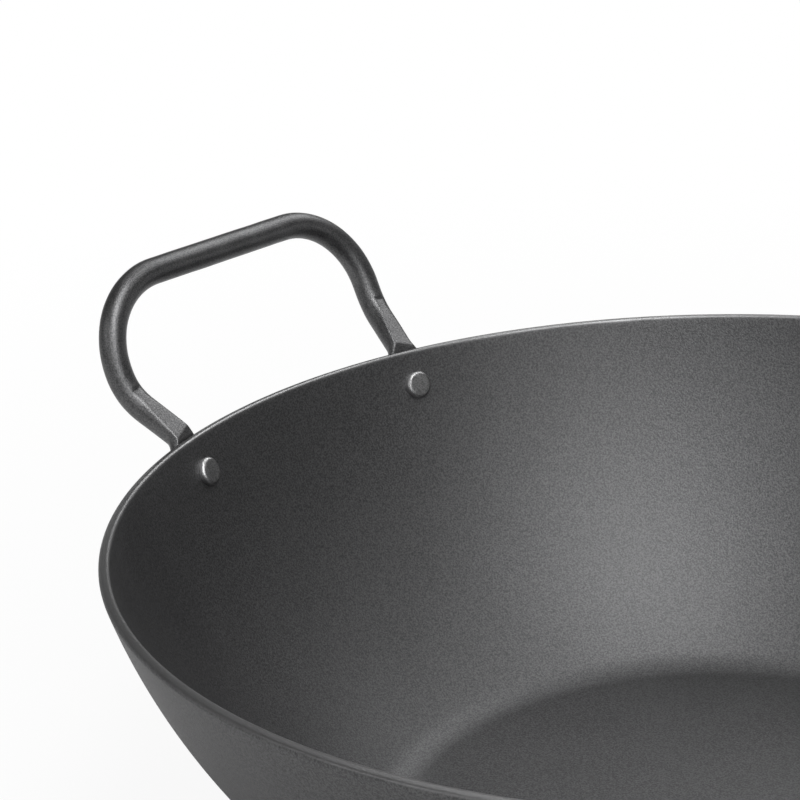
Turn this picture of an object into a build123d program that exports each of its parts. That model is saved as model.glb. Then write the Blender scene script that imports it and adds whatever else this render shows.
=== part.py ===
from build123d import *
import os
from math import asin, atan2, cos, degrees, hypot, pi, radians, sin, sqrt, tan

# A deep iron kadai: one pressed bowl with a flat base and a curved wall, and two loop
# handles of bent round rod. Each end of a rod is pressed into a flat tab that hugs the
# wall, and one rivet holds each tab.
# Millimetres, +Z up. The origin is the middle of the underside of the base, and the
# handles stand on the X axis.

# Bowl
mouth_diameter = 314.4         # between the inner edges of the rim
inside_depth = 90.7            # from the floor to the rim
floor_diameter = 169.2         # the flat part of the floor
plate = 3.0                    # thickness of the pressed plate
foot_curve_radius = 18.2       # inner face, from the wall into the floor
rim_rounding = 1.1             # both corners of the cut rim
rim_rounding_limit_share = 0.45  # of the plate

# Handle loop, in each leg's own upright plane, from the outer edge of the rim
rod_diameter = 8.0
neck_stand_off = 3.7           # rod centre beside the rim
neck_splay = 0.6               # sideways, from the rivet to the rim
neck_bend_share = 0.4          # of the way from the neck to the tab, straight at each end
neck_steps = 6
knee_reach = 18.3
knee_rise = 9.3
knee_splay = 4.9
knee_curve_radius = 25.0
grip_reach = 31.0
grip_rise = 38.5
grip_splay = 6.0
grip_corner_radius = 25.0
corner_room_share = 0.8        # the most of a leg that the grip's corner may take
knee_room_share = 0.96         # the most of the rest that the knee may take

# Pressed flat on the neck, facing up and towards the bowl, with a nick at its top
flat_turn = 11.0               # degrees, of the flat about the neck, away from the other leg
flat_length = 16.0
flat_height_at_rim = 2.5       # above the neck's straight centre line
flat_height_at_knee = 4.2
nick_depth = 1.0
nick_length = 2.6

# Tab, and the recess that keeps the rod clear of the rim
tab_width = 14.0
tab_thickness = 3.6
side_flash = 0.3               # spread of the rod beyond the tab's sides, which the die trims
face_flash = 0.7               # and beyond each of its faces
tab_seat_gap = 0.08            # between the tab and the wall
shoulder_drop = 6.0            # from the rim down to where the tab starts
die_drop = 3.0                 # from the rim down to the edge of the outer flat
rim_recess_gap = 0.4
rim_recess_drop = 3.0          # below the rim
rim_recess_rise = 4.0          # above the rim

# Rivets
rivet_spacing = 88.4           # between the two on the inner face, straight across
rivet_drop = 11.0              # from the rim, down the wall
shank_diameter = 5.0
shank_clearance = 0.05
head_diameter = 8.3
head_height = 1.7
head_shoulder_radius = 1.0
head_seat_gap = 0.05
tail_diameter = 9.0
tail_height = 2.4

overrun = 2.0                  # by which cutting solids pass what they cut

# Points and slopes worked out from the sizes above
mouth_radius = mouth_diameter / 2
floor_radius = floor_diameter / 2
rim_height = plate + inside_depth
rod_radius = rod_diameter / 2
foot_centre = (floor_radius, plate + foot_curve_radius)


def find_wall_centre():
    """The middle of the ball that the wall is part of, from its inner face.

    It lies on the bowl's axis. The ball passes through the rim and touches the foot's curve.
    """
    rise = rim_height - foot_centre[1]
    room = (mouth_radius**2 + rise**2 - foot_curve_radius**2 - floor_radius**2) / 2
    spare = rise**2 - foot_curve_radius**2
    root = sqrt(room**2 + floor_radius**2 * spare)
    return 0, foot_centre[1] + (room * rise - foot_curve_radius * root) / spare


wall_centre = find_wall_centre()
wall_curve_radius = hypot(mouth_radius, wall_centre[1] - rim_height)
rim_angle = atan2(wall_centre[1] - rim_height, mouth_radius)
foot_angle = atan2(wall_centre[1] - foot_centre[1], floor_radius)


def on_curve(centre, radius, angle):
    """A point of the profile, as radius and height; the angle goes down from level."""
    return centre[0] + radius * cos(angle), centre[1] - radius * sin(angle)


def curve(centre, radius, start, end):
    """An arc of the profile between two angles."""
    angles = (start, (start + end) / 2, end)
    return ThreePointArc(*[on_curve(centre, radius, angle) for angle in angles])


def wall_angle(drop):
    return rim_angle + drop / wall_curve_radius


def wall_point(drop, offset):
    """Radius and height at a distance down the wall, and outwards from its inner face."""
    return on_curve(wall_centre, wall_curve_radius + offset, wall_angle(drop))


rivet_radius = wall_point(rivet_drop, 0)[0]
rivet_azimuth = asin(rivet_spacing / 2 / rivet_radius)


def wall_plane(drop, offset, azimuth):
    """A plane on the wall: its Z points out of the bowl and its Y up the wall."""
    radius, height = wall_point(drop, offset)
    slope = wall_angle(drop)
    origin = (radius * cos(azimuth), radius * sin(azimuth), height)
    tangent = (-sin(azimuth), cos(azimuth), 0)
    normal = (cos(slope) * cos(azimuth), cos(slope) * sin(azimuth), -sin(slope))
    return Plane(origin=origin, x_dir=tangent, z_dir=normal)


def wall_plug(low_drop, high_drop, offset):
    """Everything inside a face parallel to the wall, between two distances down it."""
    low_radius, low_height = wall_point(low_drop, offset)
    high_radius, high_height = wall_point(high_drop, offset)
    with BuildPart() as plug:
        with BuildSketch(Plane.XZ):
            with BuildLine():
                radius = wall_curve_radius + offset
                curve(wall_centre, radius, wall_angle(low_drop), wall_angle(high_drop))
                Polyline((high_radius, high_height), (0, high_height), (0, low_height),
                         (low_radius, low_height))
            make_face()
        revolve(axis=Axis.Z)
    return plug.part


def rivet_hole(azimuth):
    """A cutter for the hole that one rivet fills."""
    length = plate + tab_thickness + 2 * overrun
    hole = Cylinder(shank_diameter / 2 + shank_clearance, length)
    middle = (plate + tab_thickness) / 2
    return wall_plane(rivet_drop, middle, azimuth) * hole


def both_sides():
    """The azimuths of the four rivets, those of the +X handle first."""
    return [side * pi + leg * rivet_azimuth for side in (0, 1) for leg in (-1, 1)]


def make_bowl():
    """The pressed bowl: one profile turned about the middle, with four holes."""
    outer_wall = wall_curve_radius + plate
    outer_foot = foot_curve_radius + plate
    with BuildPart() as bowl:
        with BuildSketch(Plane.XZ) as profile:
            with BuildLine():
                curve(foot_centre, foot_curve_radius, pi / 2, foot_angle)
                curve(wall_centre, wall_curve_radius, foot_angle, rim_angle)
                Line(wall_point(0, 0), wall_point(0, plate))
                curve(wall_centre, outer_wall, rim_angle, foot_angle)
                curve(foot_centre, outer_foot, foot_angle, pi / 2)
                Polyline((floor_radius, 0), (0, 0), (0, plate), (floor_radius, plate))
            make_face()
            corners = profile.vertices().sort_by(Axis.Y)[-2:]
            fillet(corners, min(rim_rounding, plate * rim_rounding_limit_share))
        revolve(axis=Axis.Z)
    solid = bowl.part
    for azimuth in both_sides():
        solid -= rivet_hole(azimuth)
    return solid


def leg_points():
    """Corners of the rod's centre line on its +Y leg: neck, knee and grip."""
    edge_radius = wall_point(0, plate)[0]
    edge_x = edge_radius * cos(rivet_azimuth)
    edge_y = edge_radius * sin(rivet_azimuth)
    neck = Vector(edge_x + neck_stand_off, edge_y + neck_splay, rim_height)
    knee = Vector(edge_x + knee_reach, edge_y + knee_splay, rim_height + knee_rise)
    grip = Vector(edge_x + grip_reach, edge_y + grip_splay, rim_height + grip_rise)
    return neck, knee, grip


def fitted_radius(wanted, room, turn):
    """The radius of a bend, no larger than its straight runs leave room for."""
    return min(wanted, room / tan(turn / 2))


def rod_path():
    """The centre line of the loop, from one neck round the grip to the other."""
    neck, knee, grip = leg_points()
    far_neck, far_knee, far_grip = [Vector(p.X, -p.Y, p.Z) for p in (neck, knee, grip)]
    leg = (grip - knee).length
    corner_turn = radians((grip - knee).get_angle(far_grip - grip))
    knee_turn = radians((knee - neck).get_angle(grip - knee))
    corner_radius = fitted_radius(grip_corner_radius, leg * corner_room_share, corner_turn)
    left_over = leg - corner_radius * tan(corner_turn / 2)
    knee_room = knee_room_share * min(left_over, (knee - neck).length)
    knee_radius = fitted_radius(knee_curve_radius, knee_room, knee_turn)
    return FilletPolyline(neck, knee, grip, far_grip, far_knee, far_neck,
                          radius=[knee_radius, corner_radius, corner_radius, knee_radius])


def make_rod():
    """The round rod of the loop, down to both necks."""
    path = rod_path()
    section = Plane(origin=path @ 0, z_dir=path % 0) * Circle(rod_radius)
    return sweep(section, path=path)


def make_leg_end():
    """The lower end of the +Y leg, before the die: the rod turns and spreads to a paddle."""
    neck, knee, _ = leg_points()
    middle = plate + tab_seat_gap + tab_thickness / 2
    seat = wall_plane(shoulder_drop, middle, rivet_azimuth)
    low = wall_plane(rivet_drop + tab_width, middle, rivet_azimuth)
    pull = (neck - seat.origin).length * neck_bend_share
    along = (knee - neck).normalized()
    bend = Bezier(neck, neck - along * pull, seat.origin + seat.y_dir * pull, seat.origin)
    paddle_width = tab_width / 2 + side_flash
    paddle_thickness = tab_thickness / 2 + face_flash
    sections = []
    for step in range(neck_steps + 1):
        share = step / neck_steps
        spread = share**2 * (3 - 2 * share)
        half_width = rod_radius + (paddle_width - rod_radius) * spread
        half_thickness = rod_radius + (paddle_thickness - rod_radius) * spread
        place = Plane(origin=bend @ share, x_dir=seat.x_dir, z_dir=bend % share * -1)
        sections.append(place * Ellipse(half_width, half_thickness))
    end = Plane(origin=low.origin, x_dir=seat.x_dir, z_dir=low.y_dir)
    sections.append(end * Ellipse(paddle_width, paddle_thickness))
    return loft(sections, ruled=True)


def die_cutter():
    """What the die takes off round the tab, which is flat and round at its end."""
    length = rivet_drop - die_drop + 2 * tab_width
    depth = plate + 3 * tab_thickness
    rivet_plane = wall_plane(rivet_drop, 0, rivet_azimuth)
    block_plane = wall_plane(die_drop + length / 2, 0, rivet_azimuth)
    block = block_plane * Box(tab_width * 2, length, 2 * depth)
    outline = rivet_plane * (Circle(tab_width / 2) + Pos(0, length / 2) * Rectangle(tab_width, length))
    cavity = extrude(outline, amount=depth + overrun)
    cavity &= wall_plug(die_drop + length + overrun, -overrun, plate + tab_seat_gap + tab_thickness)
    return block - cavity


def neck_flat_cutter():
    """The flat along the neck and the nick at its upper end."""
    neck, knee, _ = leg_points()
    along = (knee - neck).normalized()
    side = Vector(0, 0, 1).cross(along).normalized()
    up = along.cross(side)
    turn = radians(flat_turn)
    side, up = side * cos(turn) - up * sin(turn), up * cos(turn) + side * sin(turn)
    low = neck + up * flat_height_at_rim
    high = neck + along * flat_length + up * flat_height_at_knee
    run = (high - low).normalized()
    start = low - run * rod_diameter
    length = (high - start).length
    face = Plane(origin=start, x_dir=run, z_dir=run.cross(side))
    with BuildPart() as cutter:
        with BuildSketch(Plane(origin=face.origin, x_dir=run, z_dir=side * -1)):
            with BuildLine():
                Polyline((0, 0), (length, 0), (length, -nick_depth),
                         (length + nick_length, rod_radius), (0, rod_radius), close=True)
            make_face()
        extrude(amount=rod_diameter, both=True)
    return cutter.part


def make_handle():
    """One loop handle, on the +X side of the bowl."""
    hug = wall_plug(rivet_drop + 2 * tab_width, -overrun, plate + tab_seat_gap)
    recess = wall_plug(rim_recess_drop, -rim_recess_rise, plate + rim_recess_gap)
    leg = make_leg_end() - die_cutter() - hug - recess - rivet_hole(rivet_azimuth)
    flat = neck_flat_cutter()
    rod = make_rod() - flat - mirror(flat, about=Plane.XZ) - recess
    leg -= flat
    return rod + leg + mirror(leg, about=Plane.XZ)


def make_rivet(azimuth):
    """One rivet: a low flat head inside the bowl, and a domed tail on the tab."""
    shank = shank_diameter / 2
    head = head_diameter / 2
    tail = tail_diameter / 2
    seat = -(head**2 / (2 * rivet_radius) + head_seat_gap)
    top = seat - head_height
    foot = plate + tab_seat_gap + tab_thickness + head_seat_gap
    shoulder = min(head_shoulder_radius, head_height, head)
    turn = shoulder * (1 - sin(pi / 4))
    with BuildPart() as rivet:
        with BuildSketch(Plane.XZ):
            with BuildLine():
                Line((0, top), (head - shoulder, top))
                ThreePointArc((head - shoulder, top), (head - turn, top + turn),
                              (head, top + shoulder))
                Polyline((head, top + shoulder), (head, seat), (shank, seat),
                         (shank, foot), (tail, foot))
                dome = (tail**2 + tail_height**2) / (2 * tail_height)
                half = atan2(tail, dome - tail_height) / 2
                ThreePointArc((tail, foot),
                              (dome * sin(half), foot + tail_height - dome * (1 - cos(half))),
                              (0, foot + tail_height))
                Line((0, foot + tail_height), (0, top))
            make_face()
        revolve(axis=Axis.Z)
    return wall_plane(rivet_drop, 0, azimuth) * rivet.part


def main():
    os.makedirs("parts", exist_ok=True)
    handle = make_handle()
    pieces = {
        "pan_bowl": make_bowl(),
        "right_handle": handle,
        "left_handle": handle.rotate(Axis.Z, degrees(pi)),
    }
    names = ("right_front_rivet", "right_back_rivet", "left_back_rivet", "left_front_rivet")
    for name, azimuth in zip(names, both_sides()):
        pieces[name] = make_rivet(azimuth)
    for name, piece in pieces.items():
        export_step(piece, f"parts/{name}.step")
        size = piece.bounding_box().size
        print(f"{name}: {piece.volume:.0f} mm3, {size.X:.1f} x {size.Y:.1f} x {size.Z:.1f}")


main()
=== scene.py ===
import bpy
import bmesh
from math import asin, atan2, cos, hypot, pi, radians, sin, sqrt
from mathutils import Euler, Matrix, Vector, noise


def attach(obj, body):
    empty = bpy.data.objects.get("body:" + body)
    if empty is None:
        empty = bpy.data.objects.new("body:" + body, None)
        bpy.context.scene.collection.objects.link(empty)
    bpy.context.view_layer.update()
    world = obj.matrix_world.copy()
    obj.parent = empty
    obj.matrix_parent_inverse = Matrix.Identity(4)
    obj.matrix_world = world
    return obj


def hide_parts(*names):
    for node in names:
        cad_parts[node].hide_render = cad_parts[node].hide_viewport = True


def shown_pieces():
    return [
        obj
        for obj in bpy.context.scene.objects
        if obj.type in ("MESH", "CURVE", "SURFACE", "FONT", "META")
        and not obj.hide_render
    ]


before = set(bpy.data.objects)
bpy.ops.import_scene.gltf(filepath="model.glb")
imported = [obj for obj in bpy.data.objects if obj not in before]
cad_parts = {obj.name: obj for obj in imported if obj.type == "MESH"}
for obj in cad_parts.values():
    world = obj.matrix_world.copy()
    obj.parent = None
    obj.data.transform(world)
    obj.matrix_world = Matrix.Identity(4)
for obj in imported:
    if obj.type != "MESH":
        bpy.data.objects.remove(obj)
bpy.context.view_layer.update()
print("frame loaded:", ", ".join(sorted(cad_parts)))


# Shader maths: a socket that adds, takes away and multiplies like a number
class Wire:
    def __init__(self, shader, socket):
        self.shader = shader
        self.socket = socket

    def combine(self, operation, first, second):
        return self.shader.add("ShaderNodeMath", {"operation": operation}, {0: first, 1: second})

    def __add__(self, other):
        return self.combine("ADD", self, other)

    def __radd__(self, other):
        return self.combine("ADD", other, self)

    def __sub__(self, other):
        return self.combine("SUBTRACT", self, other)

    def __rsub__(self, other):
        return self.combine("SUBTRACT", other, self)

    def __mul__(self, other):
        return self.combine("MULTIPLY", self, other)

    def __rmul__(self, other):
        return self.combine("MULTIPLY", other, self)


class Shader:
    def __init__(self, owner):
        owner.use_nodes = True
        self.tree = owner.node_tree
        self.tree.nodes.clear()

    def add(self, kind, settings=None, sockets=None, out=0):
        node = self.tree.nodes.new(kind)
        for name, value in (settings or {}).items():
            setattr(node, name, value)
        for name, value in (sockets or {}).items():
            if isinstance(value, Wire):
                self.tree.links.new(value.socket, node.inputs[name])
            else:
                node.inputs[name].default_value = value
        return Wire(self, node.outputs[out]) if len(node.outputs) else node

    def limit(self, wire, low, high):          # 0 at low, 1 at high, smooth between
        settings = {"interpolation_type": "SMOOTHSTEP"}
        return self.add("ShaderNodeMapRange", settings, {"Value": wire, "From Min": low, "From Max": high})

    def noise(self, place, scale, detail, roughness):
        sockets = {"Vector": place, "Scale": scale, "Detail": detail, "Roughness": roughness}
        return self.add("ShaderNodeTexNoise", None, sockets)

    def mixGreys(self, share, dark, light):    # a colour between two
        greys = [grey if isinstance(grey, Wire) else (*grey, 1) for grey in (dark, light)]
        sockets = {0: share, 6: greys[0], 7: greys[1]}
        return self.add("ShaderNodeMix", {"data_type": "RGBA"}, sockets, out=2)


# Mesh helpers
mergeDistance = 1e-6                           # metres


def newPiece(name, bm):
    mesh = bpy.data.meshes.new(name)
    bm.to_mesh(mesh)
    bm.free()
    mesh.shade_smooth()
    piece = bpy.data.objects.new(name, mesh)
    bpy.context.scene.collection.objects.link(piece)
    return piece


def settle(piece, sharpAngle):                 # makes the piece's modifiers part of its mesh
    graph = bpy.context.evaluated_depsgraph_get()
    mesh = bpy.data.meshes.new_from_object(piece.evaluated_get(graph))
    mesh.name = piece.name
    piece.modifiers.clear()
    piece.data = mesh
    mesh.shade_smooth()
    mesh.set_sharp_from_angle(angle=radians(sharpAngle))


def roughen(piece, wave, depth):               # slow dents and swells along the surface
    bm = bmesh.new()
    bm.from_mesh(piece.data)
    bm.normal_update()
    for vert in bm.verts:
        vert.co += vert.normal * noise.noise(vert.co * wave) * depth
    bm.to_mesh(piece.data)
    bm.free()


def lineTo(bm, vert, place):
    end = bm.verts.new(place)
    bm.edges.new((vert, end))
    return end


def arcTo(bm, vert, centre, angle, steps):     # an arc in the XZ plane
    made = bmesh.ops.spin(bm, geom=[vert], cent=centre, axis=(0, 1, 0), angle=angle, steps=steps)
    return [item for item in made["geom_last"] if isinstance(item, bmesh.types.BMVert)][0]


def turn(bm, steps):                           # turns the profile about Z
    geom = bm.verts[:] + bm.edges[:]
    full = {"cent": (0, 0, 0), "axis": (0, 0, 1), "angle": 2 * pi}
    bmesh.ops.spin(bm, geom=geom, steps=steps, use_merge=True, **full)
    bmesh.ops.remove_doubles(bm, verts=bm.verts[:], dist=mergeDistance)
    bmesh.ops.recalc_face_normals(bm, faces=bm.faces[:])


# Bowl
bowlShape = {
    "mouthRadius": 0.1572,
    "insideDepth": 0.0907,
    "floorRadius": 0.0846,
    "plate": 0.003,
    "footRadius": 0.0182,
    "rimRounding": 0.0011,
    "turnSteps": 320,
    "wallSteps": 40,
    "footSteps": 12,
    "rimSteps": 6,
    "rimProfile": 0.5,                         # a quarter circle
    "rivetSpacing": 0.0884,
    "rivetDrop": 0.011,
    "holeRadius": 0.00255,
    "holeSegments": 48,
    "drillPlates": 4,                          # the cutter's length in plates
    "sharpAngle": 40,
}


def findBall(shape):                           # the ball that the wall's inner face is part of
    rim = shape["plate"] + shape["insideDepth"]
    footHeight = shape["plate"] + shape["footRadius"]
    rise = rim - footHeight
    room = (shape["mouthRadius"]**2 + rise**2 - shape["footRadius"]**2 - shape["floorRadius"]**2) / 2
    spare = rise**2 - shape["footRadius"]**2
    root = sqrt(room**2 + shape["floorRadius"]**2 * spare)
    height = footHeight + (room * rise - shape["footRadius"] * root) / spare
    return Vector((0, 0, height)), hypot(shape["mouthRadius"], height - rim)


ballCentre, ballRadius = findBall(bowlShape)
rimTilt = asin(bowlShape["mouthRadius"] / ballRadius)
rivetTilt = rimTilt - bowlShape["rivetDrop"] / ballRadius
rivetTurn = asin(bowlShape["rivetSpacing"] / 2 / (ballRadius * sin(rivetTilt)))


def wallPlace(azimuth):                        # at a rivet on the inner face, with Z out of the bowl
    outward = Euler((0, pi - rivetTilt, azimuth)).to_matrix()
    spot = Matrix.Translation(ballCentre + outward @ Vector((0, 0, ballRadius)))
    return spot @ outward.to_4x4()


def makeBowl(shape):
    plate = shape["plate"]
    foot = Vector((shape["floorRadius"], 0, plate + shape["footRadius"]))
    footTilt = atan2(foot.x, ballCentre.z - foot.z)
    wallTilt = rimTilt - footTilt
    bm = bmesh.new()
    middle = bm.verts.new((0, 0, plate))
    vert = lineTo(bm, middle, (foot.x, 0, plate))
    vert = arcTo(bm, vert, foot, -footTilt, shape["footSteps"])
    vert = arcTo(bm, vert, ballCentre, -wallTilt, shape["wallSteps"])
    outward = Vector((sin(rimTilt), 0, -cos(rimTilt)))
    innerRim = vert.co.copy()
    outerRim = innerRim + outward * plate
    vert = lineTo(bm, vert, outerRim)
    vert = arcTo(bm, vert, ballCentre, wallTilt, shape["wallSteps"])
    vert = arcTo(bm, vert, foot, footTilt, shape["footSteps"])
    lineTo(bm, vert, (0, 0, 0))
    turn(bm, shape["turnSteps"])
    corners = []
    for edge in bm.edges:
        for rim in (innerRim, outerRim):
            misses = [Vector((v.co.xy.length - rim.x, v.co.z - rim.z)).length for v in edge.verts]
            if max(misses) < mergeDistance:
                corners.append(edge)
    rounding = {"offset": shape["rimRounding"], "segments": shape["rimSteps"], "profile": shape["rimProfile"]}
    bmesh.ops.bevel(bm, geom=corners, affect="EDGES", material=-1, **rounding)
    return newPiece("bowl", bm)


def drillHoles(piece, shape):
    drill = {
        "cap_ends": True,
        "segments": shape["holeSegments"],
        "radius1": shape["holeRadius"],
        "radius2": shape["holeRadius"],
        "depth": shape["drillPlates"] * shape["plate"],
    }
    bm = bmesh.new()
    for azimuth in rivetAzimuths.values():
        bmesh.ops.create_cone(bm, matrix=wallPlace(azimuth), **drill)
    cutter = newPiece("holes", bm)
    cut = piece.modifiers.new("holes", "BOOLEAN")
    cut.object = cutter
    cut.solver = "MANIFOLD"
    settle(piece, shape["sharpAngle"])
    bpy.data.objects.remove(cutter)


rivetAzimuths = {
    "right_front_rivet": -rivetTurn,
    "right_back_rivet": rivetTurn,
    "left_back_rivet": pi - rivetTurn,
    "left_front_rivet": pi + rivetTurn,
}
bowl = makeBowl(bowlShape)
drillHoles(bowl, bowlShape)
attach(bowl, "root")
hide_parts("pan_bowl")
print("bowl made:", len(bowl.data.polygons), "faces")


# Handles, from the CAD handle's own mesh
handleShape = {
    "voxel": 0.00035,
    "smoothing": 0.5,
    "passes": 10,
    "forgeWave": 150,                          # waves in a metre
    "forgeDepth": 0.00005,
    "sharpAngle": 180,
}


def makeHandle(side, shape):
    bm = bmesh.new()
    bm.from_mesh(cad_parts[side + "_handle"].data)
    bmesh.ops.remove_doubles(bm, verts=bm.verts[:], dist=mergeDistance)
    piece = newPiece(side + "_loop", bm)
    solid = piece.modifiers.new("solid", "REMESH")
    solid.mode = "VOXEL"
    solid.voxel_size = shape["voxel"]
    soft = piece.modifiers.new("soft", "SMOOTH")
    soft.factor = shape["smoothing"]
    soft.iterations = shape["passes"]
    settle(piece, shape["sharpAngle"])
    roughen(piece, shape["forgeWave"], shape["forgeDepth"])
    return piece


for side in ("left", "right"):
    loop = makeHandle(side, handleShape)
    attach(loop, "root")
    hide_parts(side + "_handle")
    print(side, "handle made:", len(loop.data.polygons), "faces")


# Rivets
rivetShape = {
    "shankRadius": 0.0025,
    "headRadius": 0.00415,
    "headHeight": 0.0017,
    "shoulder": 0.0012,
    "seatGap": 0.00005,
    "tabThickness": 0.0036,
    "tabGap": 0.00008,
    "tailRadius": 0.0045,
    "tailHeight": 0.0024,
    "turnSteps": 72,
    "faceSteps": 4,
    "shoulderSteps": 8,
    "domeSteps": 10,
    "dentWave": 420,                           # waves in a metre
    "dentDepth": 0.00008,
    "sharpAngle": 50,
}


def studName(name):
    return name.replace("rivet", "stud")


def makeRivet(name, azimuth, shape):
    head, shank, tail = shape["headRadius"], shape["shankRadius"], shape["tailRadius"]
    dip = head**2 / (2 * ballRadius)
    seat = -dip - shape["seatGap"]
    top = seat - shape["headHeight"]
    shoulder = shape["shoulder"]
    foot = bowlShape["plate"] + shape["tabGap"] + shape["tabThickness"] + shape["seatGap"]
    dome = (tail**2 + shape["tailHeight"]**2) / (2 * shape["tailHeight"])
    domeTilt = asin(tail / dome)
    bm = bmesh.new()
    vert = bm.verts.new((0, 0, top))
    for step in range(shape["faceSteps"]):
        vert = lineTo(bm, vert, ((head - shoulder) * (step + 1) / shape["faceSteps"], 0, top))
    vert = arcTo(bm, vert, Vector((head - shoulder, 0, top + shoulder)), -pi / 2, shape["shoulderSteps"])
    vert = lineTo(bm, vert, (head, 0, seat))
    vert = lineTo(bm, vert, (shank, 0, seat))
    vert = lineTo(bm, vert, (shank, 0, foot))
    vert = lineTo(bm, vert, (tail, 0, foot))
    arcTo(bm, vert, Vector((0, 0, foot + shape["tailHeight"] - dome)), -domeTilt, shape["domeSteps"])
    turn(bm, shape["turnSteps"])
    bmesh.ops.transform(bm, matrix=wallPlace(azimuth), verts=bm.verts[:])
    piece = newPiece(studName(name), bm)
    roughen(piece, shape["dentWave"], shape["dentDepth"])
    piece.data.set_sharp_from_angle(angle=radians(shape["sharpAngle"]))
    return piece


for name, azimuth in rivetAzimuths.items():
    stud = makeRivet(name, azimuth, rivetShape)
    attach(stud, "root")
    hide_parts(name)
print("rivets made:", len(rivetAzimuths))


# Finishes
steelFinish = {                                # what the three steels share
    "metallic": 1.0,
    "grainDetail": 3,
    "grainRoughness": 0.65,
    "mottleDetail": 4,
    "mottleRoughness": 0.55,
    "greyFrom": 0.35,                          # noise that is all dark
    "greyTo": 0.65,                            # noise that is all light
    "mottleGloss": 0.05,
    "highlightWander": 0.001,                       # metres, of the painted highlight's wandering edge
    "highlightBack": -0.001,                        # measure below which no highlight is painted
    "bumpDistance": 0.0002,
}
bowlFinish = {
    "dark": (0.079, 0.079, 0.081),
    "light": (0.152, 0.152, 0.154),
    "highlightGrey": (0.24, 0.24, 0.242),               # painted highlight on the rim's edge, lighter steel standing in for the light the edge catches
    "highlightRoughness": 0.32,
    "highlightFrom": 0.0923,                        # height
    "highlightTo": 0.0934,
    "roughness": 0.5,
    "roughnessGrain": 0.2,
    "grain": 1900,
    "mottle": 40,
    "mottleShare": 0.06,
    "bump": 0.45,
}
handleFinish = {
    "dark": (0.08, 0.08, 0.082),
    "light": (0.18, 0.18, 0.182),
    "roughness": 0.36,
    "roughnessGrain": 0.14,
    "grain": 2400,
    "mottle": 120,
    "mottleShare": 0.2,
    "bump": 0.4,
}
rivetFinish = {
    "dark": (0.18, 0.18, 0.182),
    "light": (0.4, 0.4, 0.402),
    "highlightGrey": (0.6, 0.6, 0.602),                 # painted highlight on the shoulder and side of the head, lighter steel standing in for the light they catch
    "highlightRoughness": 0.34,
    "highlightFrom": 0.0017,                        # above the wall
    "highlightTo": 0.0012,
    "roughness": 0.34,
    "roughnessGrain": 0.15,
    "grain": 2400,
    "mottle": 300,
    "mottleShare": 0.2,
    "bump": 0.4,
}


def makeSteel(name, finish, measure=None):     # measure gives the height that the painted highlight follows
    settings = steelFinish | finish
    material = bpy.data.materials.new(name)
    shader = Shader(material)
    place = shader.add("ShaderNodeTexCoord", out="Object")
    grain = shader.noise(place, settings["grain"], settings["grainDetail"], settings["grainRoughness"])
    mottle = shader.noise(place, settings["mottle"], settings["mottleDetail"], settings["mottleRoughness"])
    slow = settings["mottleShare"]
    share = shader.limit(slow * mottle + (1 - slow) * grain, settings["greyFrom"], settings["greyTo"])
    colour = shader.mixGreys(share, settings["dark"], settings["light"])
    slowTurn = mottle - 0.5                    # about zero on average
    roughness = settings["roughness"] + settings["mottleGloss"] * slowTurn
    roughness = roughness + settings["roughnessGrain"] * (grain - 0.5)
    # painted highlight: a lighter, glossier band where the measure lies between its from and to values
    if measure:
        measured = measure(shader, place)
        wandering = measured + settings["highlightWander"] * slowTurn
        paintedHighlight = shader.limit(wandering, settings["highlightFrom"], settings["highlightTo"])
        paintedHighlight = paintedHighlight * shader.limit(measured, settings["highlightBack"], 0)
        colour = shader.mixGreys(paintedHighlight, colour, settings["highlightGrey"])
        roughness = roughness + paintedHighlight * (settings["highlightRoughness"] - settings["roughness"])
    sockets = {"Strength": settings["bump"], "Distance": settings["bumpDistance"], "Height": grain}
    bump = shader.add("ShaderNodeBump", None, sockets)
    sockets = {"Base Color": colour, "Metallic": settings["metallic"], "Roughness": roughness, "Normal": bump}
    surface = shader.add("ShaderNodeBsdfPrincipled", None, sockets)
    shader.add("ShaderNodeOutputMaterial", None, {"Surface": surface})
    return material


def heightUp(shader, place):
    return shader.add("ShaderNodeSeparateXYZ", None, {0: place}, out=2)


def aboveWall(shader, place):                  # inwards from the wall's inner face
    sockets = {0: place, 1: ballCentre}
    return ballRadius - shader.add("ShaderNodeVectorMath", {"operation": "DISTANCE"}, sockets, out="Value")


def finishPieces(names, material):
    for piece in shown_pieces():
        if piece.name in names:
            piece.data.materials.clear()
            piece.data.materials.append(material)


finishPieces(["bowl"], makeSteel("bowlSteel", bowlFinish, heightUp))
finishPieces(["left_loop", "right_loop"], makeSteel("handleSteel", handleFinish))
finishPieces([studName(name) for name in rivetAzimuths], makeSteel("rivetSteel", rivetFinish, aboveWall))
print("finishes made")


# Floor, light and camera
stageSettings = {
    "floorRadius": 20,
    "floorSegments": 64,
    "floorColour": (0.75, 0.75, 0.75, 1),
    "glowNear": 0.92,                          # of the floor as seen, the rest is lit and shaded
    "nearRadius": 0.2,
    "farRadius": 0.7,
    "roomLight": 0.2,                          # all round, where 1 is white
    "bandLight": 0.8,                          # low round the room, in glossy reflections
    "bandTop": 0.16,
}


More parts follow.
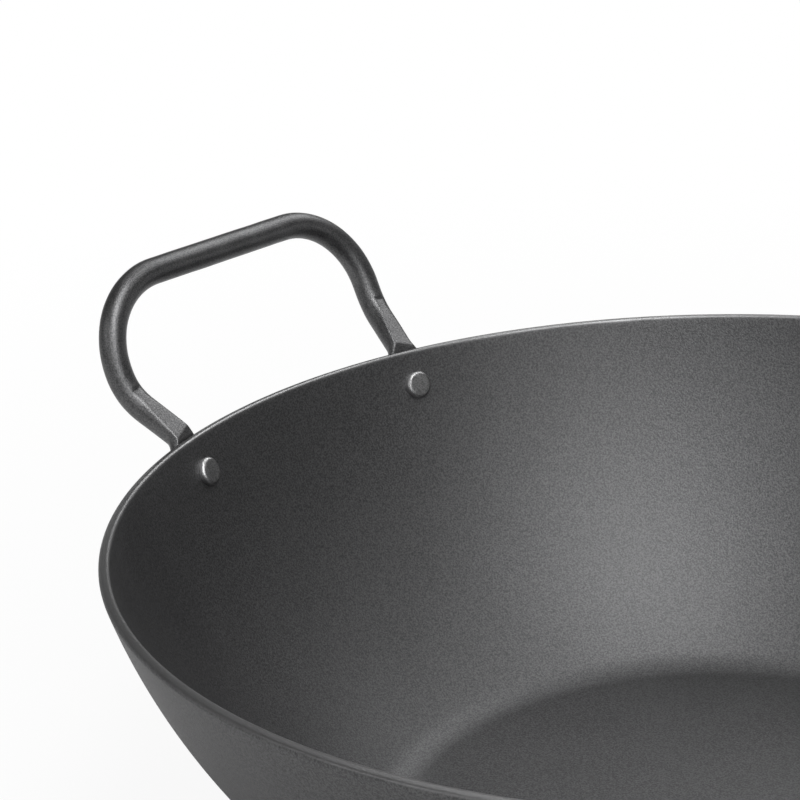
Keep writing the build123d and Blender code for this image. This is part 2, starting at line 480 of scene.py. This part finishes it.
def makeFloor(settings):
    bm = bmesh.new()
    bmesh.ops.create_circle(bm, cap_ends=True, segments=settings["floorSegments"],
                            radius=settings["floorRadius"])
    floor = newPiece("floor", bm)
    material = bpy.data.materials.new("paleFloor")
    shader = Shader(material)
    seen = shader.add("ShaderNodeLightPath", out="Is Camera Ray")
    matt = shader.add("ShaderNodeBsdfDiffuse", None, {"Color": settings["floorColour"]})
    glow = shader.add("ShaderNodeEmission", None, {"Strength": 1.0})
    place = shader.add("ShaderNodeTexCoord", out="Object")
    distance = shader.add("ShaderNodeVectorMath", {"operation": "LENGTH"}, {0: place}, out="Value")
    far = shader.limit(distance, settings["nearRadius"], settings["farRadius"])
    share = seen * (settings["glowNear"] + (1 - settings["glowNear"]) * far)
    surface = shader.add("ShaderNodeMixShader", None, {0: share, 1: matt, 2: glow})
    shader.add("ShaderNodeOutputMaterial", None, {"Surface": surface})
    floor.data.materials.append(material)


def makeRoom(settings):
    world = bpy.data.worlds.new("room")
    bpy.context.scene.world = world
    shader = Shader(world)
    camera, glossy, through = [shader.add("ShaderNodeLightPath", out=name) for name in
                               ("Is Camera Ray", "Is Glossy Ray", "Is Transmission Ray")]
    direction = shader.add("ShaderNodeTexCoord", out="Generated")
    band = shader.limit(heightUp(shader, direction), settings["bandTop"], 0)
    unseen = settings["roomLight"] + (settings["bandLight"] - settings["roomLight"]) * glossy * band
    seen = camera + through
    strength = seen + (1 - seen) * unseen
    back = shader.add("ShaderNodeBackground", None, {"Color": (1, 1, 1, 1), "Strength": strength})
    shader.add("ShaderNodeOutputWorld", None, {"Surface": back})


lamps = {                                      # strength is a lamp's own brightness, where 1 is white
    "keyLow": {"azimuth": 60, "elevation": 22, "strength": 3.2},
    "key": {"azimuth": 66, "elevation": 50, "strength": 2.9},
    "keyHigh": {"azimuth": 66, "elevation": 66, "strength": 4.9},
    "top": {"azimuth": 95, "elevation": 80, "strength": 3.2},
    "front": {"azimuth": 25, "elevation": 34, "strength": 1.9},
    "side": {"azimuth": -25, "elevation": 34, "strength": 1.4},
    "back": {"azimuth": 197, "elevation": 42, "strength": 3.5},
    "backHigh": {"azimuth": 165, "elevation": 50, "strength": 1.6},
    "backTop": {"azimuth": 232, "elevation": 62, "strength": 1.1},
}
lampDistance = 2.4
lampWidth = 1.0                                # of each square lamp


def makeLamp(name, settings):
    data = bpy.data.lights.new(name, "AREA")
    data.shape = "SQUARE"
    data.size = lampWidth
    data.energy = settings["strength"] * pi * lampWidth**2
    lamp = bpy.data.objects.new(name, data)
    bpy.context.scene.collection.objects.link(lamp)
    turned = Euler((radians(90 - settings["elevation"]), 0, radians(settings["azimuth"]))).to_matrix()
    lamp.matrix_world = turned.to_4x4()
    lamp.location = turned @ Vector((0, 0, lampDistance))


# The photograph's camera, round the bowl's middle at the height of the rim
cameraSettings = {
    "sensor": 36,
    "lens": 113.8,
    "distance": 0.6587,
    "azimuth": 36.51,
    "elevation": 22.85,
    "aimLeft": 7.63,
    "aimUp": 2.64,
    "roll": -3.08,
}


def makeCamera(settings):
    data = bpy.data.cameras.new("camera")
    data.lens = settings["lens"]
    data.sensor_width = settings["sensor"]
    camera = bpy.data.objects.new("camera", data)
    bpy.context.scene.collection.objects.link(camera)
    bpy.context.scene.camera = camera
    stand = Euler((radians(90 - settings["elevation"]), 0, radians(settings["azimuth"]))).to_matrix()
    aimed = Euler((radians(90 - settings["elevation"] + settings["aimUp"]), 0,
                   radians(settings["azimuth"] + settings["aimLeft"]))).to_matrix()
    rolled = Matrix.Rotation(radians(settings["roll"]), 3, "Z")
    camera.matrix_world = (aimed @ rolled).to_4x4()
    rim = Vector((0, 0, bowlShape["plate"] + bowlShape["insideDepth"]))
    camera.location = rim + stand @ Vector((0, 0, settings["distance"]))


makeFloor(stageSettings)
makeRoom(stageSettings)
for name, settings in lamps.items():
    makeLamp(name, settings)
makeCamera(cameraSettings)
bpy.context.scene.view_settings.view_transform = "Standard"
print("stage set")
